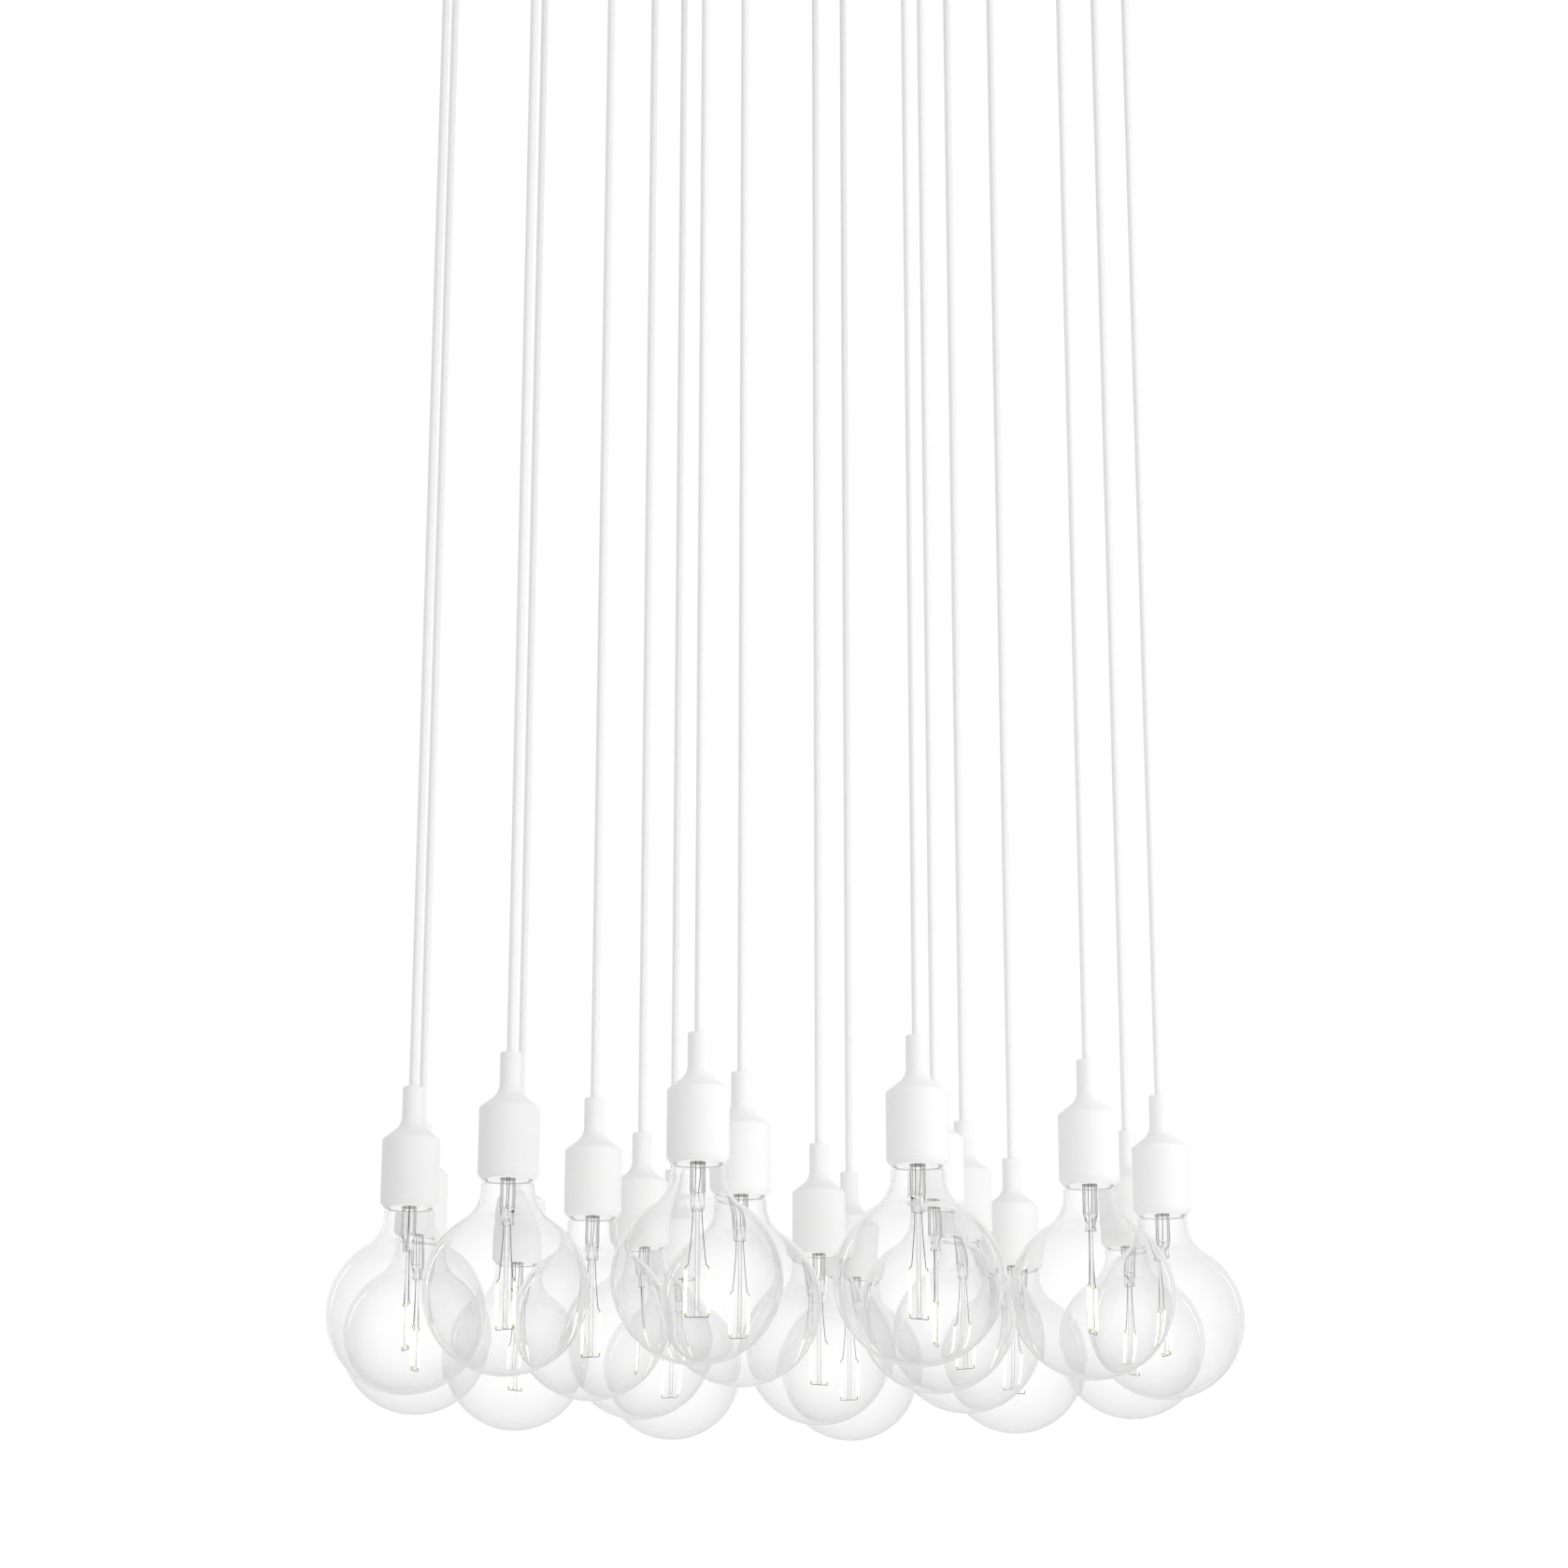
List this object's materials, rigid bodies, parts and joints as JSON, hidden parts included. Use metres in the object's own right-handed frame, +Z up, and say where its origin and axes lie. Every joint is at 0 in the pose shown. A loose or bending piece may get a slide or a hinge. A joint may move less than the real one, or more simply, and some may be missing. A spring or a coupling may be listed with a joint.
{
  "type": "cluster pendant",
  "caption": "Ceiling light with two concentric rings of straight-hung pendants: white cords, soft white sleeved lampholders and clear globe filament bulbs under one round canopy.",
  "frame": {"origin": "centre of the ceiling bracket's mounting face, where it meets the ceiling", "axes": "+Z up into the ceiling, +Y away from the picture's viewer, +X to the viewer's right"},
  "size_m": [0.7348, 0.7348, 1.5356],
  "materials": {
    "white_lacquer": "satin",
    "zinc_steel": "satin",
    "white_screw": "satin",
    "white_nylon": "matte",
    "white_cord": "matte",
    "white_silicone": "matte",
    "clear_glass": "gloss"
  },
  "bodies": {
    "ceiling_canopy": {"canopy": "white_lacquer", "ceiling_bracket": "zinc_steel", "canopy_screws": "white_screw", "terminal_block": "white_nylon", "cord_grips": "white_nylon"},
    "pendant_01": {"cord_01": "white_cord", "lampholder_01": "white_silicone"},
    "lamp_01": {"bulb_01": "clear_glass"},
    "pendant_02": {"cord_02": "white_cord", "lampholder_02": "white_silicone"},
    "lamp_02": {"bulb_02": "clear_glass"},
    "pendant_03": {"cord_03": "white_cord", "lampholder_03": "white_silicone"},
    "lamp_03": {"bulb_03": "clear_glass"},
    "pendant_04": {"cord_04": "white_cord", "lampholder_04": "white_silicone"},
    "lamp_04": {"bulb_04": "clear_glass"},
    "pendant_05": {"cord_05": "white_cord", "lampholder_05": "white_silicone"},
    "lamp_05": {"bulb_05": "clear_glass"},
    "pendant_06": {"cord_06": "white_cord", "lampholder_06": "white_silicone"},
    "lamp_06": {"bulb_06": "clear_glass"},
    "pendant_07": {"cord_07": "white_cord", "lampholder_07": "white_silicone"},
    "lamp_07": {"bulb_07": "clear_glass"},
    "pendant_08": {"cord_08": "white_cord", "lampholder_08": "white_silicone"},
    "lamp_08": {"bulb_08": "clear_glass"},
    "pendant_09": {"cord_09": "white_cord", "lampholder_09": "white_silicone"},
    "lamp_09": {"bulb_09": "clear_glass"},
    "pendant_10": {"cord_10": "white_cord", "lampholder_10": "white_silicone"},
    "lamp_10": {"bulb_10": "clear_glass"},
    "pendant_11": {"cord_11": "white_cord", "lampholder_11": "white_silicone"},
    "lamp_11": {"bulb_11": "clear_glass"},
    "pendant_12": {"cord_12": "white_cord", "lampholder_12": "white_silicone"},
    "lamp_12": {"bulb_12": "clear_glass"},
    "pendant_13": {"cord_13": "white_cord", "lampholder_13": "white_silicone"},
    "lamp_13": {"bulb_13": "clear_glass"},
    "pendant_14": {"cord_14": "white_cord", "lampholder_14": "white_silicone"},
    "lamp_14": {"bulb_14": "clear_glass"},
    "pendant_15": {"cord_15": "white_cord", "lampholder_15": "white_silicone"},
    "lamp_15": {"bulb_15": "clear_glass"},
    "pendant_16": {"cord_16": "white_cord", "lampholder_16": "white_silicone"},
    "lamp_16": {"bulb_16": "clear_glass"},
    "pendant_17": {"cord_17": "white_cord", "lampholder_17": "white_silicone"},
    "lamp_17": {"bulb_17": "clear_glass"},
    "pendant_18": {"cord_18": "white_cord", "lampholder_18": "white_silicone"},
    "lamp_18": {"bulb_18": "clear_glass"}
  },
  "joints": [
    {"name": "swing_01", "type": "hinge", "parent": "ceiling_canopy", "child": "pendant_01", "pos_m": [0.2947, 0.09935, -0.042], "axis": [0.3195, -0.9476, 0], "range_deg": [-0.4, 20], "deforming": ["cord_01"]},
    {"name": "bulb_out_01", "type": "slide", "parent": "pendant_01", "child": "lamp_01", "axis": [0, 0, -1], "range_m": [0, 0.04]},
    {"name": "swing_02", "type": "hinge", "parent": "ceiling_canopy", "child": "pendant_02", "pos_m": [0.20555, 0.23339, -0.042], "axis": [0.7505, -0.6609, 0], "range_deg": [-0.4, 20], "deforming": ["cord_02"]},
    {"name": "bulb_out_02", "type": "slide", "parent": "pendant_02", "child": "lamp_02", "axis": [0, 0, -1], "range_m": [0, 0.04]},
    {"name": "swing_03", "type": "hinge", "parent": "ceiling_canopy", "child": "pendant_03", "pos_m": [0.06131, 0.3049, -0.042], "axis": [0.9804, -0.1971, 0], "range_deg": [-0.4, 20], "deforming": ["cord_03"]},
    {"name": "bulb_out_03", "type": "slide", "parent": "pendant_03", "child": "lamp_03", "axis": [0, 0, -1], "range_m": [0, 0.04]},
    {"name": "swing_04", "type": "hinge", "parent": "ceiling_canopy", "child": "pendant_04", "pos_m": [-0.09935, 0.2947, -0.042], "axis": [0.9476, 0.3195, 0], "range_deg": [-0.4, 20], "deforming": ["cord_04"]},
    {"name": "bulb_out_04", "type": "slide", "parent": "pendant_04", "child": "lamp_04", "axis": [0, 0, -1], "range_m": [0, 0.04]},
    {"name": "swing_05", "type": "hinge", "parent": "ceiling_canopy", "child": "pendant_05", "pos_m": [-0.23339, 0.20555, -0.042], "axis": [0.6609, 0.7505, 0], "range_deg": [-0.4, 20], "deforming": ["cord_05"]},
    {"name": "bulb_out_05", "type": "slide", "parent": "pendant_05", "child": "lamp_05", "axis": [0, 0, -1], "range_m": [0, 0.04]},
    {"name": "swing_06", "type": "hinge", "parent": "ceiling_canopy", "child": "pendant_06", "pos_m": [-0.3049, 0.06131, -0.042], "axis": [0.1971, 0.9804, 0], "range_deg": [-0.4, 20], "deforming": ["cord_06"]},
    {"name": "bulb_out_06", "type": "slide", "parent": "pendant_06", "child": "lamp_06", "axis": [0, 0, -1], "range_m": [0, 0.04]},
    {"name": "swing_07", "type": "hinge", "parent": "ceiling_canopy", "child": "pendant_07", "pos_m": [-0.2947, -0.09935, -0.042], "axis": [-0.3195, 0.9476, 0], "range_deg": [-0.4, 20], "deforming": ["cord_07"]},
    {"name": "bulb_out_07", "type": "slide", "parent": "pendant_07", "child": "lamp_07", "axis": [0, 0, -1], "range_m": [0, 0.04]},
    {"name": "swing_08", "type": "hinge", "parent": "ceiling_canopy", "child": "pendant_08", "pos_m": [-0.20555, -0.23339, -0.042], "axis": [-0.7505, 0.6609, 0], "range_deg": [-0.4, 20], "deforming": ["cord_08"]},
    {"name": "bulb_out_08", "type": "slide", "parent": "pendant_08", "child": "lamp_08", "axis": [0, 0, -1], "range_m": [0, 0.04]},
    {"name": "swing_09", "type": "hinge", "parent": "ceiling_canopy", "child": "pendant_09", "pos_m": [-0.06131, -0.3049, -0.042], "axis": [-0.9804, 0.1971, 0], "range_deg": [-0.4, 20], "deforming": ["cord_09"]},
    {"name": "bulb_out_09", "type": "slide", "parent": "pendant_09", "child": "lamp_09", "axis": [0, 0, -1], "range_m": [0, 0.04]},
    {"name": "swing_10", "type": "hinge", "parent": "ceiling_canopy", "child": "pendant_10", "pos_m": [0.09935, -0.2947, -0.042], "axis": [-0.9476, -0.3195, 0], "range_deg": [-0.4, 20], "deforming": ["cord_10"]},
    {"name": "bulb_out_10", "type": "slide", "parent": "pendant_10", "child": "lamp_10", "axis": [0, 0, -1], "range_m": [0, 0.04]},
    {"name": "swing_11", "type": "hinge", "parent": "ceiling_canopy", "child": "pendant_11", "pos_m": [0.23339, -0.20555, -0.042], "axis": [-0.6609, -0.7505, 0], "range_deg": [-0.4, 20], "deforming": ["cord_11"]},
    {"name": "bulb_out_11", "type": "slide", "parent": "pendant_11", "child": "lamp_11", "axis": [0, 0, -1], "range_m": [0, 0.04]},
    {"name": "swing_12", "type": "hinge", "parent": "ceiling_canopy", "child": "pendant_12", "pos_m": [0.3049, -0.06131, -0.042], "axis": [-0.1971, -0.9804, 0], "range_deg": [-0.4, 20], "deforming": ["cord_12"]},
    {"name": "bulb_out_12", "type": "slide", "parent": "pendant_12", "child": "lamp_12", "axis": [0, 0, -1], "range_m": [0, 0.04]},
    {"name": "swing_13", "type": "hinge", "parent": "ceiling_canopy", "child": "pendant_13", "pos_m": [0.15256, 0.05143, -0.042], "axis": [0.3195, -0.9476, 0], "range_deg": [-1.1, 0.4], "deforming": ["cord_13"]},
    {"name": "bulb_out_13", "type": "slide", "parent": "pendant_13", "child": "lamp_13", "axis": [0, 0, -1], "range_m": [0, 0.04]},
    {"name": "swing_14", "type": "hinge", "parent": "ceiling_canopy", "child": "pendant_14", "pos_m": [0.03174, 0.15784, -0.042], "axis": [0.9804, -0.1971, 0], "range_deg": [-1.1, 0.4], "deforming": ["cord_14"]},
    {"name": "bulb_out_14", "type": "slide", "parent": "pendant_14", "child": "lamp_14", "axis": [0, 0, -1], "range_m": [0, 0.04]},
    {"name": "swing_15", "type": "hinge", "parent": "ceiling_canopy", "child": "pendant_15", "pos_m": [-0.12082, 0.10641, -0.042], "axis": [0.6609, 0.7505, 0], "range_deg": [-1.1, 0.4], "deforming": ["cord_15"]},
    {"name": "bulb_out_15", "type": "slide", "parent": "pendant_15", "child": "lamp_15", "axis": [0, 0, -1], "range_m": [0, 0.04]},
    {"name": "swing_16", "type": "hinge", "parent": "ceiling_canopy", "child": "pendant_16", "pos_m": [-0.15256, -0.05143, -0.042], "axis": [-0.3195, 0.9476, 0], "range_deg": [-1.1, 0.4], "deforming": ["cord_16"]},
    {"name": "bulb_out_16", "type": "slide", "parent": "pendant_16", "child": "lamp_16", "axis": [0, 0, -1], "range_m": [0, 0.04]},
    {"name": "swing_17", "type": "hinge", "parent": "ceiling_canopy", "child": "pendant_17", "pos_m": [-0.03174, -0.15784, -0.042], "axis": [-0.9804, 0.1971, 0], "range_deg": [-1.1, 0.4], "deforming": ["cord_17"]},
    {"name": "bulb_out_17", "type": "slide", "parent": "pendant_17", "child": "lamp_17", "axis": [0, 0, -1], "range_m": [0, 0.04]},
    {"name": "swing_18", "type": "hinge", "parent": "ceiling_canopy", "child": "pendant_18", "pos_m": [0.12082, -0.10641, -0.042], "axis": [-0.6609, -0.7505, 0], "range_deg": [-1.1, 0.4], "deforming": ["cord_18"]},
    {"name": "bulb_out_18", "type": "slide", "parent": "pendant_18", "child": "lamp_18", "axis": [0, 0, -1], "range_m": [0, 0.04]}
  ]
}
